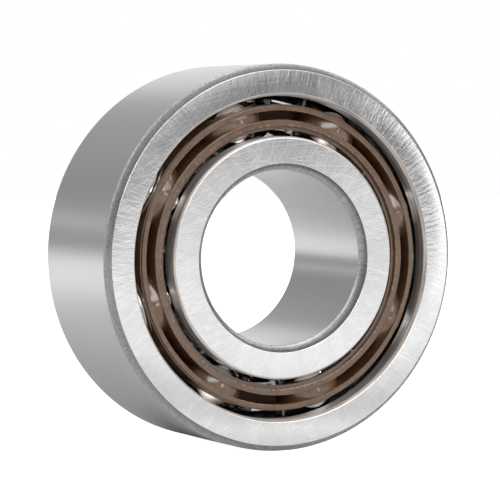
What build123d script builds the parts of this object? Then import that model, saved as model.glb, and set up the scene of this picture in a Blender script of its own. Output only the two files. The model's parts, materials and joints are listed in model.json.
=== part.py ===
from build123d import *

import os
from math import cos, radians, sin, sqrt

# Double-row angular contact ball bearing: one outer ring, one inner ring and, for each of the
# two rows, a ring of balls in a moulded snap cage.
# Sizes are in millimetres. The bearing axis is the Y axis and the origin is the bearing's
# centre. The front face looks towards -Y, and +Z is up.

# Boundary sizes
bore_radius = 25.0
outside_radius = 55.0
half_width = 22.2

# Balls and their tracks
ball_radius = 17.462 / 2
pitch_radius = 40.2
row_offset = 9.6  # from the centre plane to the ball centres of a row
balls_per_row = 8
contact_angle = radians(30.0)
groove_radius = 9.2
contact_gap = 0.02  # between a ball and a track, so that nothing touches at rest

# Each row's plane faces out of the bearing, and the first ball's angle is measured in it.
row_planes = {
    "front": Plane(origin=(0, -row_offset, 0), x_dir=(1, 0, 0), z_dir=(0, -1, 0)),
    "rear": Plane(origin=(0, row_offset, 0), x_dir=(-1, 0, 0), z_dir=(0, 1, 0)),
}
first_ball_angle = {"front": 19.0, "rear": 3.5}

# Outer ring
outer_face_radius = 46.65
outer_land_radius = 46.0
outer_rib_radius = 45.3
entry_length = 1.1  # axial length of the lead-in chamfer between face and land
outside_corner = (2.1, 1.7)  # axial and radial size
outside_crown = 0.33  # how far the corner bulges past a straight chamfer

# Inner ring
inner_face_radius = 33.95
inner_land_radius = 34.5
inner_rib_radius = 33.0
shoulder_length = 0.6
bore_corner = (2.3, 1.8)
bore_crown = 0.42

# Cages
cage_depth = 10.3  # from the ball centres to the rims' faces
outer_rim_radii = (41.8, 43.2)
outer_ledge = (43.55, 0.6)  # radius and drop of the step outside the outer rim
inner_rim_radii = (37.35, 39.2)
inner_ledge = (36.4, 1.0)  # radius and drop of the step inside the inner rim
rim_edge = 0.2
web_thickness = 1.4
pocket_radius = 8.88
dome_radius = 10.15  # back of a pocket, nearly flush with the rims
dome_limit_radius = 43.9
horn_radius = 10.3
horn_length = 3.2  # how far the pocket horns close past the ball centres
gate_radius = 0.5
gate_length = 1.2


def groove_outline(groove_centre, land_radius, rib_radius, depth):
    """Arc of a ball track from its outboard land to the central rib.

    Points are (axial, radial), and depth is +1 for a track cut into the outer ring and -1 for
    one cut into the inner ring.
    """
    land_reach = sqrt(groove_radius**2 - (land_radius - groove_centre.Y) ** 2)
    rib_reach = sqrt(groove_radius**2 - (rib_radius - groove_centre.Y) ** 2)
    return (
        (groove_centre.X + land_reach, land_radius),
        (groove_centre.X, groove_centre.Y + depth * groove_radius),
        (groove_centre.X - rib_reach, rib_radius),
    )


# The line of contact of each ball leans by the contact angle. The outer ring is touched on the
# side towards the centre plane and the inner ring on the side towards its face.
ball_centre = Vector(row_offset, pitch_radius)
contact_direction = Vector(sin(contact_angle), -cos(contact_angle))
groove_shift = (groove_radius - ball_radius - contact_gap) * contact_direction

outer_groove = groove_outline(
    ball_centre + groove_shift, outer_land_radius, outer_rib_radius, 1
)
inner_groove = groove_outline(
    ball_centre - groove_shift, inner_land_radius, inner_rib_radius, -1
)


def build_outer_ring():
    """Outer ring, turned from half an outline mirrored about the centre plane."""
    corner_start = (half_width - outside_corner[0], outside_radius)
    corner_end = (half_width, outside_radius - outside_corner[1])
    with BuildPart() as ring:
        with BuildSketch(Plane.YZ):
            with BuildLine():
                Line((0, outside_radius), corner_start)
                SagittaArc(corner_start, corner_end, -outside_crown)
                Polyline(
                    corner_end,
                    (half_width, outer_face_radius),
                    (half_width - entry_length, outer_land_radius),
                    outer_groove[0],
                )
                ThreePointArc(*outer_groove)
                Line(outer_groove[-1], (0, outer_rib_radius))
                mirror(about=Plane.YZ)
            make_face()
        revolve(axis=Axis.Y)
    return ring.part


def build_inner_ring():
    """Inner ring, turned from half an outline mirrored about the centre plane."""
    corner_start = (half_width - bore_corner[0], bore_radius)
    corner_end = (half_width, bore_radius + bore_corner[1])
    with BuildPart() as ring:
        with BuildSketch(Plane.YZ):
            with BuildLine():
                Line((0, bore_radius), corner_start)
                SagittaArc(corner_start, corner_end, bore_crown)
                Polyline(
                    corner_end,
                    (half_width, inner_face_radius),
                    (half_width - shoulder_length, inner_land_radius),
                    inner_groove[0],
                )
                ThreePointArc(*inner_groove)
                Line(inner_groove[-1], (0, inner_rib_radius))
                mirror(about=Plane.YZ)
            make_face()
        revolve(axis=Axis.Y)
    return ring.part


def build_ball(row_plane, angle):
    """One ball of a row, at an angle in the row's plane."""
    with BuildPart(row_plane) as ball:
        with PolarLocations(pitch_radius, 1, start_angle=angle):
            Sphere(ball_radius)
    return ball.part


def build_ring_of_spheres(first_angle, sphere_radius, radii, length):
    """Spheres around the ball centres of a row, trimmed to a tube.

    They stand on the XY plane, to be added on a row's plane. The tube runs outboard from the
    ball centres, or inboard where length is negative.
    """
    with BuildPart() as spheres:
        with PolarLocations(pitch_radius, balls_per_row, start_angle=first_angle):
            Sphere(sphere_radius)
        with BuildSketch():
            Circle(radii[1])
            Circle(radii[0], mode=Mode.SUBTRACT)
        extrude(amount=length, mode=Mode.INTERSECT)
    return spheres.part


def build_cage(row_plane, first_angle):
    """Snap cage: two rims and a web, with a domed pocket and a pair of horns for each ball."""
    outboard = Axis(row_plane.origin, row_plane.z_dir)
    body_radii = (inner_ledge[0], outer_ledge[0])
    domes = build_ring_of_spheres(
        first_angle, dome_radius, (inner_rim_radii[0], dome_limit_radius), dome_radius
    )
    horns = build_ring_of_spheres(first_angle, horn_radius, body_radii, -horn_length)
    half_pitch = 180 / balls_per_row
    with BuildPart(row_plane) as cage:
        with BuildSketch(row_plane):
            Circle(outer_ledge[0])
            Circle(inner_rim_radii[0], mode=Mode.SUBTRACT)
        extrude(amount=cage_depth - outer_ledge[1])
        with BuildSketch(row_plane):
            Circle(inner_rim_radii[0])
            Circle(inner_ledge[0], mode=Mode.SUBTRACT)
        extrude(amount=cage_depth - inner_ledge[1])
        with BuildSketch(row_plane):
            Circle(outer_rim_radii[1])
            Circle(inner_rim_radii[0], mode=Mode.SUBTRACT)
        extrude(amount=cage_depth)
        with BuildSketch(row_plane.offset(web_thickness)):
            Circle(outer_rim_radii[0])
            Circle(inner_rim_radii[1], mode=Mode.SUBTRACT)
        extrude(amount=cage_depth, mode=Mode.SUBTRACT)
        fillet(cage.edges().group_by(outboard)[-1], radius=rim_edge)

        # Gate marks on the bore of the cage, midway between the balls
        with BuildSketch(row_plane.offset(cage_depth - inner_ledge[1])):
            with PolarLocations(
                inner_ledge[0], balls_per_row, start_angle=first_angle + half_pitch
            ):
                Circle(gate_radius)
        extrude(amount=-gate_length)

        add(domes)
        add(horns)
        with PolarLocations(pitch_radius, balls_per_row, start_angle=first_angle):
            Sphere(pocket_radius, mode=Mode.SUBTRACT)
    return cage.part


def write_part(part, name):
    """Labels a finished piece and writes it as its own STEP file."""
    part.label = name
    export_step(part, f"parts/{name}.step")


os.makedirs("parts", exist_ok=True)
write_part(build_outer_ring(), "outer_ring")
write_part(build_inner_ring(), "inner_ring")
for row, plane in row_planes.items():
    write_part(build_cage(plane, first_ball_angle[row]), f"{row}_cage")
    for number in range(balls_per_row):
        ball_angle = first_ball_angle[row] + number * 360 / balls_per_row
        write_part(build_ball(plane, ball_angle), f"{row}_ball_{number + 1}")
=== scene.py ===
import functools
import json
import math

import bmesh
import bpy
from mathutils import Matrix, Vector


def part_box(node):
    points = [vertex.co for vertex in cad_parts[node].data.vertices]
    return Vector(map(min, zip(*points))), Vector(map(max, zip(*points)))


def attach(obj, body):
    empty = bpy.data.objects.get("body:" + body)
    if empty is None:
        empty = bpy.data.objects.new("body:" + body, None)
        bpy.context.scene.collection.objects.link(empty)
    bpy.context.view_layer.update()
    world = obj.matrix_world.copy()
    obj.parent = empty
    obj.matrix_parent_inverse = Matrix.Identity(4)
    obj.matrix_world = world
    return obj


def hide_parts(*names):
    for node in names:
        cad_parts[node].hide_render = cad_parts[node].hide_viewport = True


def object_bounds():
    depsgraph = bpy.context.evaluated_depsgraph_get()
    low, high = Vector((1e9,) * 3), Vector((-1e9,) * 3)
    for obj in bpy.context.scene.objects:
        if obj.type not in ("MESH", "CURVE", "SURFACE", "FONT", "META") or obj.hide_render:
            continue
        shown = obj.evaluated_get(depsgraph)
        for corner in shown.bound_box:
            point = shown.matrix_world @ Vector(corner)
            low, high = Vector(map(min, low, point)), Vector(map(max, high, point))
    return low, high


# Looks of a double-row angular contact ball bearing. Lengths are in metres, the bearing axis is
# the Y axis, and the front face looks towards -Y.

MM = 0.001

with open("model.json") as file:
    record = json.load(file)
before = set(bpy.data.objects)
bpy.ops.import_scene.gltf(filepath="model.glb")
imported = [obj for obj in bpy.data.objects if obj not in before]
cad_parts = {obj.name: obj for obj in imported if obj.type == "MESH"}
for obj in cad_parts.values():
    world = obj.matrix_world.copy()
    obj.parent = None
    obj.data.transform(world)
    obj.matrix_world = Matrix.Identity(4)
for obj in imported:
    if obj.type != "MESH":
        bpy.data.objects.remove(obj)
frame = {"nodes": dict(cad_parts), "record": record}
cad_low, cad_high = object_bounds()
scene = bpy.context.scene

# Places on the bearing, in mm, for the materials. A radius is from the axis, and a depth is from
# the centre plane.
HALF_WIDTH = cad_high.y / MM
OUTSIDE_RADIUS = cad_high.x / MM
BORE_RADIUS = next(m["dims"]["r_mm"] for m in frame["record"]["mounts"] if m["kind"] == "bore")
LAND_DEPTH = 16.6  # past it, the inside of a ring is a plain land
FACE_ROLL_RADIUS = 47.0  # past it, the outer ring's faces roll off
FACE_ROLL_SLOPE = 0.0175  # of the roll where it starts
FACE_ROLL_CURVE = 0.0029  # half of how much the slope grows per mm
TROUGH_RADIUS = 40.5  # the middle of the trough between a cage's rims
RIM_DEPTH = 19.85  # past it, a cage has only its rims' faces
FINISH_START, FINISH_FULL = 0.05, 0.02  # from a surface, where its finish starts and is full


# ---------------------------------------------------------------- shader building

class Shader:
    """The nodes of a material or a world. Most methods add nodes and return an output socket."""

    def __init__(self, owner, output_kind="ShaderNodeOutputMaterial"):
        owner.use_nodes = True
        self.owner = owner
        self.tree = owner.node_tree
        self.tree.nodes.clear()
        self.output = self.tree.nodes.new(output_kind)

    def node(self, kind, inputs=None, **settings):
        made = self.tree.nodes.new(kind)
        for name, value in settings.items():
            setattr(made, name, value)
        for key, value in (inputs or {}).items():
            self.feed(made.inputs[key], value)
        return made

    def feed(self, socket, value):
        if isinstance(value, bpy.types.NodeSocket):
            self.tree.links.new(value, socket)
        else:
            socket.default_value = value

    def math(self, operation, a, b=0.0, c=0.0, clamp=False):
        made = self.node("ShaderNodeMath", {0: a, 1: b, 2: c}, operation=operation)
        made.use_clamp = clamp
        return made.outputs[0]

    def ramp(self, value, low, high, to_low=0.0, to_high=1.0):
        """Value mapped smoothly from low..high to to_low..to_high, and held past its ends."""
        inputs = {"Value": value, "From Min": low, "From Max": high,
                  "To Min": to_low, "To Max": to_high}
        made = self.node("ShaderNodeMapRange", inputs, interpolation_type="SMOOTHSTEP")
        return made.outputs[0]

    def vector(self, x, y, z):
        return self.node("ShaderNodeCombineXYZ", {0: x, 1: y, 2: z}).outputs[0]

    def noise(self, vector, scale=1.0, detail=2.0, roughness=0.5):
        inputs = {"Vector": vector, "Scale": scale, "Detail": detail, "Roughness": roughness}
        return self.node("ShaderNodeTexNoise", inputs).outputs["Fac"]

    def bump(self, height, distance, strength=1.0):
        inputs = {"Height": height, "Distance": distance, "Strength": strength}
        return self.node("ShaderNodeBump", inputs).outputs[0]

    def object_place(self):
        return self.node("ShaderNodeTexCoord").outputs["Object"]

    def weigh(self, pairs):
        """Sum of products of (weight, value) pairs."""
        total = 0.0
        for weight, value in pairs:
            total = self.math("MULTIPLY_ADD", weight, value, total)
        return total

    def mix_color(self, factor, a, b):
        made = self.node("ShaderNodeMix", {0: factor}, data_type="RGBA")
        self.feed(made.inputs[6], a)
        self.feed(made.inputs[7], b)
        return made.outputs[2]

    def cylinder_coordinates(self):
        """Place about the Y axis: across and up on the unit circle, then radius and y in mm."""
        split = self.node("ShaderNodeSeparateXYZ", {0: self.object_place()})
        x, y, z = (self.math("MULTIPLY", part, 1 / MM) for part in split.outputs)
        squares = self.math("ADD", self.math("MULTIPLY", x, x), self.math("MULTIPLY", z, z))
        radius = self.math("SQRT", squares)
        return self.math("DIVIDE", x, radius), self.math("DIVIDE", z, radius), radius, y

    def finish(self, surface):
        """Connects the surface, and returns the material or world."""
        self.tree.links.new(surface, self.output.inputs["Surface"])
        return self.owner


def grey(value):
    return (value, value, value, 1.0)


def thin_lines(s, noise, width):
    """Thin lines where a noise passes its middle value."""
    return s.ramp(s.math("ABSOLUTE", s.math("SUBTRACT", noise, 0.5)), width, 0.0)


# ---------------------------------------------------------------- materials

def ring_steel():
    """Bearing steel: ground faces and cylinders, tumbled corners, turned lands, honed tracks."""
    s = Shader(bpy.data.materials.new("ring_steel"))
    across, up, radius, axial = s.cylinder_coordinates()
    depth = s.math("ABSOLUTE", axial)
    travel = s.math("SUBTRACT", radius, depth)

    # Which finish a point has, from its place on the ring
    face = s.ramp(depth, HALF_WIDTH - FINISH_START, HALF_WIDTH - FINISH_FULL)
    outside = s.ramp(radius, OUTSIDE_RADIUS - FINISH_START, OUTSIDE_RADIUS - FINISH_FULL)
    bore = s.ramp(radius, BORE_RADIUS + FINISH_START, BORE_RADIUS + FINISH_FULL)
    cylinder = s.math("ADD", outside, bore, clamp=True)
    rest = s.math("SUBTRACT", 1.0, s.math("ADD", face, cylinder, clamp=True))
    near_outside = s.ramp(radius, OUTSIDE_RADIUS - 3.0, OUTSIDE_RADIUS - 2.5)
    near_bore = s.ramp(radius, BORE_RADIUS + 3.0, BORE_RADIUS + 2.5)
    outside_corner = s.math("MULTIPLY", near_outside, rest)
    bore_corner = s.math("MULTIPLY", near_bore, rest)
    rest = s.math("SUBTRACT", s.math("SUBTRACT", rest, outside_corner), bore_corner)
    land = s.math("MULTIPLY", s.ramp(depth, LAND_DEPTH - 0.1, LAND_DEPTH + 0.1), rest)
    track = s.math("SUBTRACT", rest, land)

    def around(turns, along, stretch, detail=3.0, roughness=0.65):
        """Noise with cells 1/turns radians long round the axis and 1/stretch mm along."""
        place = s.vector(s.math("MULTIPLY", across, turns), s.math("MULTIPLY", up, turns),
                         s.math("MULTIPLY", along, stretch))
        return s.noise(place, 1.0, detail, roughness)

    def radial_lay(lean, lines, stretch):
        """Near-radial scratches that lean by a constant angle, whose tangent is lean."""
        turn = s.math("MULTIPLY", s.math("LOGARITHM", radius, math.e), lean)
        cos_turn, sin_turn = s.math("COSINE", turn), s.math("SINE", turn)
        u = s.math("SUBTRACT", s.math("MULTIPLY", across, cos_turn),
                   s.math("MULTIPLY", up, sin_turn))
        v = s.math("ADD", s.math("MULTIPLY", across, sin_turn),
                   s.math("MULTIPLY", up, cos_turn))
        place = s.vector(s.math("MULTIPLY", u, lines), s.math("MULTIPLY", v, lines),
                         s.math("MULTIPLY", radius, stretch))
        return s.noise(place, 1.0, 1.0, 0.4)

    def arc_scratches(centre, spacing, stretch):
        """Long scratches that curve about a centre (mm) away from the axis."""
        x = s.math("SUBTRACT", s.math("MULTIPLY", across, radius), centre[0])
        z = s.math("SUBTRACT", s.math("MULTIPLY", up, radius), centre[1])
        squares = s.math("ADD", s.math("MULTIPLY", x, x), s.math("MULTIPLY", z, z))
        reach = s.math("SQRT", squares)
        place = s.vector(s.math("DIVIDE", reach, spacing), s.math("MULTIPLY", x, stretch), 0.0)
        return thin_lines(s, s.noise(place, 1.0, 1.0, 0.5), 0.02)

    lay = s.math("ADD", radial_lay(0.30, 90.0, 0.07), radial_lay(-0.25, 80.0, 0.10))
    fine_lines = thin_lines(s, radial_lay(-0.45, 50.0, 0.05), 0.04)
    leaning = thin_lines(s, radial_lay(0.45, 34.0, 0.05), 0.03)
    arcs = s.math("MAXIMUM", arc_scratches((-70.0, 75.0), 1.6, 0.05),
                  arc_scratches((10.0, -90.0), 2.6, 0.03))
    # Scratch lines: cut into the face as bumps, and also painted a little lighter as painted glints
    scratches_and_glints = s.weigh([(0.5, fine_lines), (0.7, leaning), (1.0, arcs)])

    feathers = around(50.0, radius, 0.06, 2.0, 0.5)
    feather_height = s.math("MULTIPLY", s.ramp(up, -0.3, 0.1),
                            s.ramp(across, -0.2, 0.5, 0.02, 0.035))

    # Tumbling has rolled the outer ring's faces off a little towards their outer edges
    across_face = s.math("SUBTRACT", radius, FACE_ROLL_RADIUS)
    slope = s.math("MULTIPLY_ADD", across_face, -FACE_ROLL_CURVE, -FACE_ROLL_SLOPE)
    roll = s.math("MULTIPLY", across_face, slope)
    on_outer_ring = s.ramp(radius, FACE_ROLL_RADIUS - 2.0, FACE_ROLL_RADIUS - 1.0)
    outer_face = s.math("MULTIPLY", face, on_outer_ring)

    cloud = around(9.0, radius, 0.12, 4.0, 0.6)
    grain = around(160.0, travel, 3.0, 3.0, 0.7)
    speckle = around(170.0, travel, 3.0, 1.0, 0.5)
    rings = around(1.5, travel, 1.3, 3.0, 0.7)
    wheel = around(1.2, axial, 20.0, 4.0, 0.7)

    # All heights are in mm
    lay_height = s.ramp(radius, 34.0, 47.0, 0.005, 0.009)
    height = s.weigh([
        (face, s.weigh([(lay_height, lay), (-0.002, scratches_and_glints)])),
        (outer_face, s.math("MULTIPLY_ADD", feathers, feather_height, roll)),
        (cylinder, s.math("MULTIPLY", wheel, 0.0008)),
        (outside_corner, s.math("MULTIPLY", grain, 0.012)),
        (bore_corner, s.math("MULTIPLY", grain, 0.004)),
        (land, s.math("MULTIPLY", rings, 0.05)),
        (track, s.math("MULTIPLY", rings, 0.02)),
    ])

    rough = s.weigh([
        (face, s.ramp(cloud, 0.3, 0.7, 0.105, 0.125)),
        (cylinder, s.ramp(wheel, 0.3, 0.7, 0.27, 0.34)),
        (outside_corner, s.ramp(grain, 0.3, 0.7, 0.36, 0.50)),
        (bore_corner, 0.42),
        (land, 0.42),
        (track, 0.14),
    ])
    anisotropy = s.weigh([
        (face, 0.92),
        (cylinder, 0.75),
        (outside_corner, 0.3),
        (bore_corner, 0.5),
        (land, 0.7),
        (track, 0.4),
    ])
    tone = s.weigh([
        # The face's tone is raised a little along its scratches: painted glints on real scratch
        # marks
        (face, s.weigh([(1.0, s.ramp(cloud, 0.3, 0.7, 0.65, 0.72)), (0.06, scratches_and_glints)])),
        (cylinder, 0.62),
        (outside_corner, s.ramp(speckle, 0.40, 0.60, 0.22, 0.44)),
        (bore_corner, s.ramp(speckle, 0.38, 0.62, 0.24, 0.44)),
        (land, s.ramp(rings, 0.3, 0.7, 0.45, 0.95)),
        (track, s.ramp(rings, 0.3, 0.7, 0.45, 0.65)),
    ])
    warmth = s.weigh([(0.06, outside_corner), (0.12, bore_corner), (0.35, land), (0.2, track)])
    tint = s.mix_color(warmth, (1.0, 1.0, 1.0, 1.0), (1.0, 0.80, 0.66, 1.0))
    color = s.node("ShaderNodeVectorMath", {0: tint, "Scale": tone}, operation="SCALE").outputs[0]

    # Scratches run radially on a face and round the axis elsewhere; reflections spread across them
    tangent = s.node("ShaderNodeTangent", direction_type="RADIAL", axis="Y").outputs[0]
    surface = s.node("ShaderNodeBsdfPrincipled", {
        "Base Color": color, "Metallic": 1.0, "Roughness": rough,
        "Normal": s.bump(height, MM),
        "Anisotropic": anisotropy, "Anisotropic Rotation": s.ramp(face, 0.0, 1.0, 0.25, 0.0),
        "Tangent": tangent,
    })
    return s.finish(surface.outputs[0])


def ball_steel():
    """Lapped bearing steel, close to a mirror, with the faintest wear haze."""
    s = Shader(bpy.data.materials.new("ball_steel"))
    place = s.object_place()
    haze = s.noise(place, 220.0, 5.0, 0.65)
    color = s.mix_color(haze, (0.74, 0.745, 0.75, 1.0), (0.68, 0.685, 0.69, 1.0))
    surface = s.node("ShaderNodeBsdfPrincipled", {
        "Base Color": color, "Metallic": 1.0, "Roughness": s.ramp(haze, 0.35, 0.75, 0.03, 0.09),
        "Normal": s.bump(s.noise(place, 5000.0, 2.0, 0.5), 0.002 * MM, 0.25),
    })
    return s.finish(surface.outputs[0])


def cage_polyamide():
    """Moulded brown polyamide: satin, with painted dark amber shade in the trough, flecked along
    its rims.
    """
    s = Shader(bpy.data.materials.new("cage_polyamide"))
    _, _, radius, axial = s.cylinder_coordinates()
    depth = s.math("ABSOLUTE", axial)
    place = s.object_place()
    mottle = s.noise(place, 260.0, 4.0, 0.6)
    fibres = s.noise(place, 2000.0, 1.0, 0.5)
    from_trough = s.math("ABSOLUTE", s.math("SUBTRACT", radius, TROUGH_RADIUS))
    # Painted shade: darker amber colour and weaker reflections deep in the trough between the rims
    painted_trough_shade = s.math("MULTIPLY", s.ramp(depth, 18.5, 12.5), s.ramp(from_trough, 2.0, 1.4))

    # The rims' edges were trimmed and show pale flecks
    inside_edges = s.math("MULTIPLY", s.ramp(from_trough, 1.55, 1.40),
                          s.ramp(from_trough, 1.25, 1.35))
    trimmed = s.math("MAXIMUM", inside_edges, s.ramp(from_trough, 2.45, 2.75))
    flecks = s.ramp(s.noise(place, 1400.0, 2.0, 0.6), 0.50, 0.66)
    fleck = s.math("MULTIPLY", s.math("MULTIPLY", trimmed, flecks),
                   s.ramp(depth, RIM_DEPTH - 0.05, RIM_DEPTH))

    color = s.mix_color(s.ramp(mottle, 0.3, 0.7),
                        (0.088, 0.048, 0.025, 1.0), (0.124, 0.070, 0.038, 1.0))
    # Painted shade deep in the trough
    color = s.mix_color(painted_trough_shade, color, (0.085, 0.034, 0.010, 1.0))
    color = s.mix_color(s.math("MULTIPLY", fleck, 0.3), color, (0.42, 0.36, 0.30, 1.0))
    surface = s.node("ShaderNodeBsdfPrincipled", {
        "Base Color": color, "Roughness": s.ramp(mottle, 0.3, 0.7, 0.17, 0.20),
        "Normal": s.bump(fibres, 0.02 * MM, 0.2),
        "IOR": 1.50, "Specular IOR Level": s.ramp(painted_trough_shade, 0.0, 1.0, 0.85, 0.10),
        "Subsurface Weight": 0.35, "Subsurface Radius": (1.0, 0.32, 0.12),
        "Subsurface Scale": 1.0 * MM,
    })
    return s.finish(surface.outputs[0])


def floor_paper():
    """Pale studio paper, white to the camera. Reflections see a pool of light on it."""
    s = Shader(bpy.data.materials.new("floor_paper"))
    place = s.object_place()
    fibre = s.noise(place, 900.0, 3.0, 0.6)
    tone = s.mix_color(fibre, grey(0.80), grey(0.84))
    paper = s.node("ShaderNodeBsdfDiffuse", {"Color": tone, "Normal": s.bump(fibre, 0.1 * MM, 0.1)})
    distance = s.node("ShaderNodeVectorMath", {0: place}, operation="LENGTH").outputs["Value"]
    behind = s.node("ShaderNodeSeparateXYZ", {0: place}).outputs["Y"]
    far_behind = s.math("MULTIPLY", s.ramp(distance, 0.12, 0.35), s.ramp(behind, 1.6, 0.7))
    in_front = s.ramp(behind, 0.0, -0.06)
    near = s.math("MULTIPLY", s.ramp(distance, 0.12, 0.08), in_front)
    pool = s.weigh([(0.42, far_behind), (0.03, in_front), (0.29, near)])
    seen = s.node("ShaderNodeLightPath").outputs["Is Camera Ray"]
    strength = s.math("MAXIMUM", pool, seen)
    glow = s.node("ShaderNodeEmission", {"Color": grey(1.0), "Strength": strength})
    surface = s.node("ShaderNodeAddShader", {0: paper.outputs[0], 1: glow.outputs[0]})
    return s.finish(surface.outputs[0])


# ---------------------------------------------------------------- turned rings

SEAM_DIGITS = 7  # decimals of a metre to which points on the seam are found and matched
CORNER_TURN = math.radians(14)  # a sharper turn than this is a real corner of the profile
RUN_JUMP = 5.0  # steps whose lengths differ by more than this ratio are on different runs
NORMAL_JUMP = 8.0  # beside a step longer by more than this ratio, that step sets the normal
EASE = 0.15 * MM  # radius that every turned corner is eased to
EASE_STEP = math.radians(12)
ARC_STEP = math.radians(2.0)
TURN_STEPS = 540


def profile_loop(node):
    """A ring's outline on its CAD mesh's seam (x = 0, z > 0), as ordered (axial, radial) points."""
    mesh = frame["nodes"][node].data

    def key(vertex):
        return (round(vertex.co.y, SEAM_DIGITS), round(vertex.co.z, SEAM_DIGITS))

    on_seam = {v.index for v in mesh.vertices
               if abs(v.co.x) < 10 ** -SEAM_DIGITS and v.co.z > 0}
    neighbours = {}
    for edge in mesh.edges:
        a, b = edge.vertices
        if a in on_seam and b in on_seam:
            ka, kb = key(mesh.vertices[a]), key(mesh.vertices[b])
            if ka != kb:
                neighbours.setdefault(ka, set()).add(kb)
                neighbours.setdefault(kb, set()).add(ka)
    start = min(neighbours)
    loop, last, here = [start], None, start
    while True:
        step = sorted(k for k in neighbours[here] if k != last)[0]
        if step == start:
            break
        loop.append(step)
        last, here = here, step
    return [Vector(p) for p in loop]


def is_corner(loop, i):
    """True where the outline turns sharply, or where a straight run meets an arc's short steps."""
    before = loop[i] - loop[i - 1]
    after = loop[(i + 1) % len(loop)] - loop[i]
    jump = max(before.length / after.length, after.length / before.length)
    return before.angle(after) > CORNER_TURN or jump > RUN_JUMP


def circle_through(a, b, c):
    """Centre of the circle through three points."""
    ab, ac = b - a, c - a
    cross = 2 * (ab.x * ac.y - ab.y * ac.x)
    shift = Vector((ac.y * ab.length_squared - ab.y * ac.length_squared,
                    ab.x * ac.length_squared - ac.x * ab.length_squared)) / cross
    return a + shift


def arc_points(start, end, centre):
    """Points from start to end about centre, the short way, at most ARC_STEP apart."""
    a, b = start - centre, end - centre
    sweep = math.atan2(a.x * b.y - a.y * b.x, a.dot(b))
    count = max(1, math.ceil(abs(sweep) / ARC_STEP))
    for k in range(count + 1):
        yield centre + Matrix.Rotation(sweep * k / count, 2) @ a


def runs_of(loop):
    """The outline split at its corners into runs: two points if straight, more for an arc."""
    corners = [i for i in range(len(loop)) if is_corner(loop, i)]
    runs = []
    for k, i in enumerate(corners):
        j = corners[(k + 1) % len(corners)]
        span = (j - i) % len(loop)
        runs.append([loop[(i + s) % len(loop)] for s in range(span + 1)])
    return runs


def smooth_outline(loop):
    """The outline's points in order, with fine arcs and eased corners."""
    lines = []
    for run in runs_of(loop):
        if len(run) > 2:
            centre = circle_through(run[0], run[len(run) // 2], run[-1])
            run = list(arc_points(run[0], run[-1], centre))
        lines.append(run)
    points = []
    for k, line in enumerate(lines):
        following = lines[(k + 1) % len(lines)]
        corner = line[-1]
        into = (corner - line[-2]).normalized()
        out = (following[1] - corner).normalized()
        cut = EASE * math.tan(into.angle(out) / 2)
        start = corner - into * cut
        points.extend(line[1:-1])
        side = 1 if into.x * out.y - into.y * out.x > 0 else -1
        centre = start + Vector((-into.y, into.x)) * EASE * side
        sweep = into.angle(out) * side
        steps = max(3, math.ceil(abs(sweep) / EASE_STEP))
        for s in range(steps + 1):
            points.append(centre + Matrix.Rotation(sweep * s / steps, 2) @ (start - centre))
    return points


def outline_normals(points):
    """Unit normals across the outline, pointing out of the metal, which lies inside the loop."""
    following = points[1:] + points[:1]
    area = sum(a.x * b.y - a.y * b.x for a, b in zip(points, following))
    side = 1 if area > 0 else -1
    normals = []
    for i, (here, there) in enumerate(zip(points, following)):
        before, after = here - points[i - 1], there - here
        ratio = before.length / after.length
        # A much longer step is a straight run, which an eased corner meets without a kink
        if ratio > NORMAL_JUMP:
            along = before.normalized()
        elif ratio < 1 / NORMAL_JUMP:
            along = after.normalized()
        else:
            along = (before.normalized() + after.normalized()).normalized()
        normals.append(Vector((along.y, -along.x)) * side)
    return normals


def stand_in(name, mesh, node, material):
    """A new piece that replaces a CAD node and rides on the node's body."""
    mesh.materials.append(material)
    piece = bpy.data.objects.new(name, mesh)
    scene.collection.objects.link(piece)
    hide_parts(node)
    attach(piece, node)


def turned_ring(node, material):
    """A finely turned ring from a CAD ring's own outline, with eased corners."""
    points = smooth_outline(profile_loop(node))
    normals = outline_normals(points)
    count = len(points)
    verts, vert_normals = [], []
    for k in range(TURN_STEPS):
        angle = 2 * math.pi * k / TURN_STEPS
        c, s = math.cos(angle), math.sin(angle)
        for p, n in zip(points, normals):
            verts.append((p.y * c, p.x, p.y * s))
            vert_normals.append((n.y * c, n.x, n.y * s))
    faces = []
    for k in range(TURN_STEPS):
        here, there = k * count, (k + 1) % TURN_STEPS * count
        for i in range(count):
            j = (i + 1) % count
            faces.append((here + i, here + j, there + j, there + i))
    name = node + "_turned"
    mesh = bpy.data.meshes.new(name)
    mesh.from_pydata(verts, [], faces)
    edit = bmesh.new()
    edit.from_mesh(mesh)
    bmesh.ops.recalc_face_normals(edit, faces=edit.faces)
    edit.to_mesh(mesh)
    edit.free()
    mesh.shade_smooth()
    mesh.normals_split_custom_set_from_vertices(vert_normals)
    stand_in(name, mesh, node, material)


# ---------------------------------------------------------------- balls and cages

BALL_SUBDIVISIONS = 5
DOME_RADIUS = 10.15 * MM  # of a pocket's back, from its ball's centre
DOME_TOLERANCE = 0.03 * MM


def lapped_ball(node, material):
    """A fine sphere in the place of a CAD ball."""
    low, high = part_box(node)
    edit = bmesh.new()
    bmesh.ops.create_icosphere(edit, subdivisions=BALL_SUBDIVISIONS, radius=(high - low).x / 2,
                               matrix=Matrix.Translation((low + high) / 2))
    name = node + "_lapped"
    mesh = bpy.data.meshes.new(name)
    edit.to_mesh(mesh)
    edit.free()
    mesh.shade_smooth()
    stand_in(name, mesh, node, material)


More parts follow.
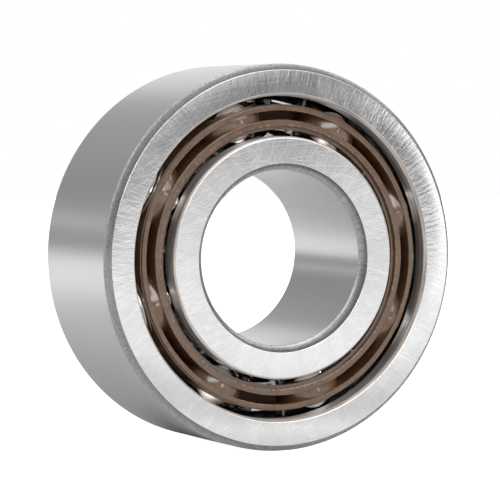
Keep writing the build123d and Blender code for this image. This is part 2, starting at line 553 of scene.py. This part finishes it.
def moulded_cage(node, material):
    """A cage of its CAD shape, with exact normals on the domed backs of its pockets."""
    balls = node.replace("cage", "ball_")
    boxes = [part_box(other) for other in sorted(frame["nodes"]) if other.startswith(balls)]
    centres = [(low + high) / 2 for low, high in boxes]
    name = node + "_moulded"
    mesh = frame["nodes"][node].data.copy()
    mesh.name = name
    normals = [corner.vector.copy() for corner in mesh.corner_normals]
    for face in mesh.polygons:
        centre = min(centres, key=lambda c: (c - face.center).length)
        rays = [mesh.vertices[v].co - centre for v in face.vertices]
        if all(abs(ray.length - DOME_RADIUS) < DOME_TOLERANCE for ray in rays):
            for loop, ray in zip(face.loop_indices, rays):
                normals[loop] = ray.normalized()
    mesh.normals_split_custom_set(normals)
    mesh.materials.clear()
    stand_in(name, mesh, node, material)


steel = ring_steel()
lapped = ball_steel()
polyamide = cage_polyamide()

turned_ring("outer_ring", steel)
turned_ring("inner_ring", steel)
for name in sorted(frame["nodes"]):
    if "_ball_" in name:
        lapped_ball(name, lapped)
    elif name.endswith("_cage"):
        moulded_cage(name, polyamide)


# ---------------------------------------------------------------- studio

FLOOR_REACH = 3.0  # from the bearing's centre to each side of the floor


def build_floor():
    """A square floor under the bearing."""
    x = y = FLOOR_REACH
    z = cad_low.z
    mesh = bpy.data.meshes.new("floor")
    mesh.from_pydata([(-x, -y, z), (x, -y, z), (x, y, z), (-x, y, z)], [], [(0, 1, 2, 3)])
    floor = bpy.data.objects.new("floor", mesh)
    scene.collection.objects.link(floor)
    mesh.materials.append(floor_paper())


class Studio(Shader):
    """World nodes: soft boxes all round the bearing, by azimuth and elevation in degrees.

    Azimuth 0 is towards -Y, the front, and 90 is towards +X.
    """

    def __init__(self, owner):
        super().__init__(owner, "ShaderNodeOutputWorld")
        direction = self.node("ShaderNodeTexCoord").outputs["Generated"]
        split = self.node("ShaderNodeSeparateXYZ", {0: direction})
        x, y, z = split.outputs
        front = self.math("MULTIPLY", y, -1.0)
        self.azimuth = self.math("DEGREES", self.math("ARCTAN2", x, front))
        self.elevation = self.math("DEGREES", self.math("ARCSINE", z))
        self.level = self.ramp(self.elevation, 8.0, 80.0, 0.38, 0.75)

    def panel(self, azimuths, elevations, edge, strength):
        """Adds a soft-edged rectangle of light, or takes light away where strength is negative."""
        ramps = []
        for value, (low, high) in ((self.azimuth, azimuths), (self.elevation, elevations)):
            ramps.append(self.ramp(value, low - edge, low + edge))
            ramps.append(self.ramp(value, high + edge, high - edge))
        mask = functools.reduce(lambda a, b: self.math("MULTIPLY", a, b), ramps)
        self.level = self.math("MULTIPLY_ADD", mask, strength, self.level)


def build_studio():
    """The world: soft boxes for what the bearing reflects, and white for what the camera sees."""
    s = Studio(bpy.data.worlds.new("studio"))

    # Round the direction that the flat faces mirror to the camera
    s.panel((38, 75), (-10, 5), 1.2, 0.15)
    s.panel((34.8, 38.5), (-0.7, 4), 0.8, 2.2)
    s.panel((27.5, 33), (1.2, 6.5), 0.8, -0.34)
    s.panel((15, 23), (-2.5, 2.5), 1.0, -0.22)
    s.panel((22, 30), (-1.6, 0.4), 0.6, 0.35)
    s.panel((20, 27), (1.5, 5.5), 0.8, 0.12)
    s.panel((18, 26), (5.5, 9), 0.8, 0.75)
    s.panel((-10, 28), (9, 16), 1.5, 0.45)

    # Large and bright, for the highlights on the cages' domes, the balls and the rings' edges
    s.panel((-26, 6), (10, 26), 2.0, 5.0)
    s.panel((6, 24), (12, 60), 2.0, 5.0)
    s.panel((24, 48), (14, 44), 2.0, 2.6)
    s.panel((66, 80), (30, 42), 1.5, 6.0)

    # Behind the bearing, mirrored by its outside surface and its bore
    s.panel((120, 170), (4, 30), 5.0, 0.8)
    s.panel((-180, -120), (5.5, 7.5), 0.6, 0.8)

    strength = s.math("MAXIMUM", s.level, 0.0)
    lit = s.node("ShaderNodeBackground", {"Color": grey(1.0), "Strength": strength})
    white = s.node("ShaderNodeBackground", {"Color": grey(1.0), "Strength": 1.0})
    seen = s.node("ShaderNodeLightPath").outputs["Is Camera Ray"]
    mixed = s.node("ShaderNodeMixShader", {0: seen, 1: lit.outputs[0], 2: white.outputs[0]})
    scene.world = s.finish(mixed.outputs[0])


def build_camera():
    """A long lens, a little left of the bearing's axis and just above it."""
    distance = 785.75 * MM
    azimuth, elevation, roll = math.radians(-26.52), math.radians(2.42), math.radians(0.73)
    back = Vector((math.sin(azimuth) * math.cos(elevation),
                   -math.cos(azimuth) * math.cos(elevation), math.sin(elevation)))
    right = (-back).cross(Vector((0, 0, 1))).normalized()
    above = right.cross(-back)
    aim = right * 0.08 * MM + above * 1.37 * MM
    data = bpy.data.cameras.new("camera")
    data.sensor_width = 36.0
    data.lens = 194.8
    data.clip_start, data.clip_end = 0.05, 20.0
    camera = bpy.data.objects.new("camera", data)
    scene.collection.objects.link(camera)
    camera.location = back * distance
    look = aim - camera.location
    camera.rotation_mode = "QUATERNION"
    rolled = Matrix.Rotation(roll, 3, "Z").to_quaternion()
    camera.rotation_quaternion = look.to_track_quat("-Z", "Y") @ rolled
    scene.camera = camera


build_floor()
build_studio()
build_camera()
scene.view_settings.view_transform = "Standard"
